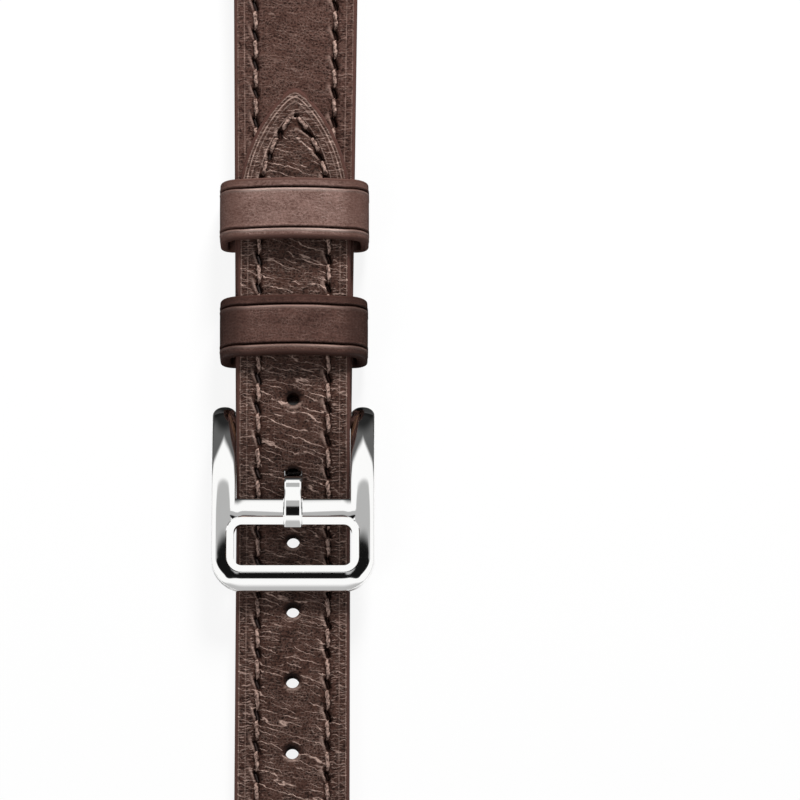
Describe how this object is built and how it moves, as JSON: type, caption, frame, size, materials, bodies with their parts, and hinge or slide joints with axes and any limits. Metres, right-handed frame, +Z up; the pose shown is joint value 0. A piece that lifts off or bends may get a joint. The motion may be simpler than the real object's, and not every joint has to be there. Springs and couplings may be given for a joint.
{
  "type": "leather watch strap",
  "caption": "Stitched leather watch strap in two pieces, fastened by a pin buckle and held by a fixed and a sliding keeper.",
  "frame": {"origin": "middle of the fastened strap's length and width, on the table that it lies on", "axes": "+Y along the strap to the short strap's watch end, +X across it, +Z up out of its face"},
  "size_m": [0.02, 0.1528, 0.0076],
  "materials": {
    "face_leather": "waxed, fine creases",
    "keeper_leather": "waxed, fine creases",
    "lining_leather": "smooth, matt",
    "thread": "twisted, waxed",
    "polished_steel": "mirror polished",
    "spring_bar_steel": "turned"
  },
  "bodies": {
    "strap": {"short_face_leather": "face_leather", "short_filler": "lining_leather", "short_lining": "lining_leather", "short_stitching": "thread", "tail_face_leather": "face_leather", "tail_filler": "lining_leather", "tail_lining": "lining_leather", "tail_stitching": "thread", "fixed_keeper": "keeper_leather", "buckle_bar_tube": "spring_bar_steel", "buckle_bar_spring": "spring_bar_steel", "short_lug_bar_tube": "spring_bar_steel", "short_lug_bar_spring": "spring_bar_steel"},
    "loose_keeper": {"loose_keeper": "keeper_leather"},
    "buckle": {"buckle_frame": "polished_steel", "tail_lug_bar_tube": "spring_bar_steel", "tail_lug_bar_spring": "spring_bar_steel"},
    "tongue": {"buckle_tongue": "polished_steel"},
    "buckle_bar_left_pin": {"buckle_bar_left_pin": "spring_bar_steel"},
    "buckle_bar_right_pin": {"buckle_bar_right_pin": "spring_bar_steel"},
    "short_lug_bar_left_pin": {"short_lug_bar_left_pin": "spring_bar_steel"},
    "short_lug_bar_right_pin": {"short_lug_bar_right_pin": "spring_bar_steel"},
    "tail_lug_bar_left_pin": {"tail_lug_bar_left_pin": "spring_bar_steel"},
    "tail_lug_bar_right_pin": {"tail_lug_bar_right_pin": "spring_bar_steel"}
  },
  "joints": [
    {"name": "loose_keeper_slide", "type": "slide", "parent": "strap", "child": "loose_keeper", "axis": [0, 1, 0], "range_m": [-0.007, 0.038]},
    {"name": "buckle_hinge", "type": "hinge", "parent": "strap", "child": "buckle", "pos_m": [0, 0.00139, 0.00195], "axis": [-1, 0, 0], "range_deg": [0, 40], "deforming": ["tail_face_leather", "tail_filler", "tail_lining", "tail_stitching"]},
    {"name": "tongue_hinge", "type": "hinge", "parent": "buckle", "child": "tongue", "pos_m": [0, 0.00139, 0.00195], "axis": [-1, 0, 0], "range_deg": [0, 4.5]},
    {"name": "buckle_bar_left_pin_slide", "type": "slide", "parent": "strap", "child": "buckle_bar_left_pin", "axis": [1, 0, 0], "range_m": [0, 0.00105], "stiffness_N_per_m": 500, "springref_m": -0.001, "deforming": ["buckle_bar_spring"]},
    {"name": "buckle_bar_right_pin_slide", "type": "slide", "parent": "strap", "child": "buckle_bar_right_pin", "axis": [-1, 0, 0], "range_m": [0, 0.00105], "stiffness_N_per_m": 500, "springref_m": -0.001, "deforming": ["buckle_bar_spring"]},
    {"name": "short_lug_bar_left_pin_slide", "type": "slide", "parent": "strap", "child": "short_lug_bar_left_pin", "axis": [1, 0, 0], "range_m": [0, 0.00105], "stiffness_N_per_m": 500, "springref_m": -0.001, "deforming": ["short_lug_bar_spring"]},
    {"name": "short_lug_bar_right_pin_slide", "type": "slide", "parent": "strap", "child": "short_lug_bar_right_pin", "axis": [-1, 0, 0], "range_m": [0, 0.00105], "stiffness_N_per_m": 500, "springref_m": -0.001, "deforming": ["short_lug_bar_spring"]},
    {"name": "tail_lug_bar_left_pin_slide", "type": "slide", "parent": "buckle", "child": "tail_lug_bar_left_pin", "axis": [1, 0, 0], "range_m": [0, 0.00105], "stiffness_N_per_m": 500, "springref_m": -0.001, "deforming": ["tail_lug_bar_spring"]},
    {"name": "tail_lug_bar_right_pin_slide", "type": "slide", "parent": "buckle", "child": "tail_lug_bar_right_pin", "axis": [-1, 0, 0], "range_m": [0, 0.00105], "stiffness_N_per_m": 500, "springref_m": -0.001, "deforming": ["tail_lug_bar_spring"]}
  ]
}
